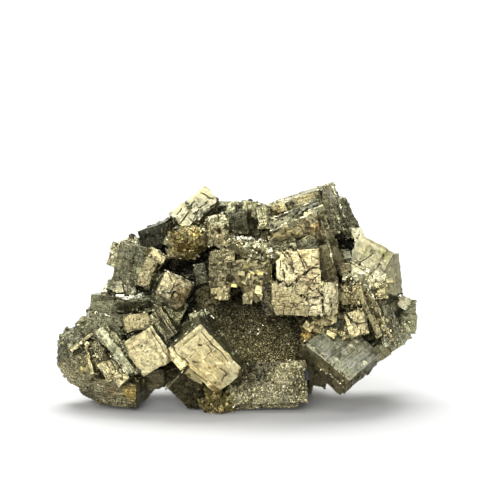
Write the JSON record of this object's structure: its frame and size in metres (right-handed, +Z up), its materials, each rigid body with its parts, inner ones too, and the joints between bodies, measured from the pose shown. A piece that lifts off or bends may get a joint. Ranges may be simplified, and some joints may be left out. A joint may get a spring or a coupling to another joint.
{
  "type": "pyrite specimen",
  "caption": "Mass of intergrown pyrite cubes and blocks with stepped, cracked faces and a grainy hollow in the front, resting on flat spots of its base.",
  "frame": {"origin": "middle of the bounding box at the height of the resting spots", "axes": "+Z up, +X along the length of the mass towards the viewer's right, +Y from the side with the hollow to the back"},
  "size_m": [0.1014, 0.0538, 0.0614],
  "materials": {
    "pyrite": "pale brassy metal with olive and brown tarnish",
    "druse": "dark sparkling crust of small crystals"
  },
  "bodies": {
    "root": {"pyrite_cluster": "pyrite", "hollow_crust": "druse"}
  },
  "joints": []
}
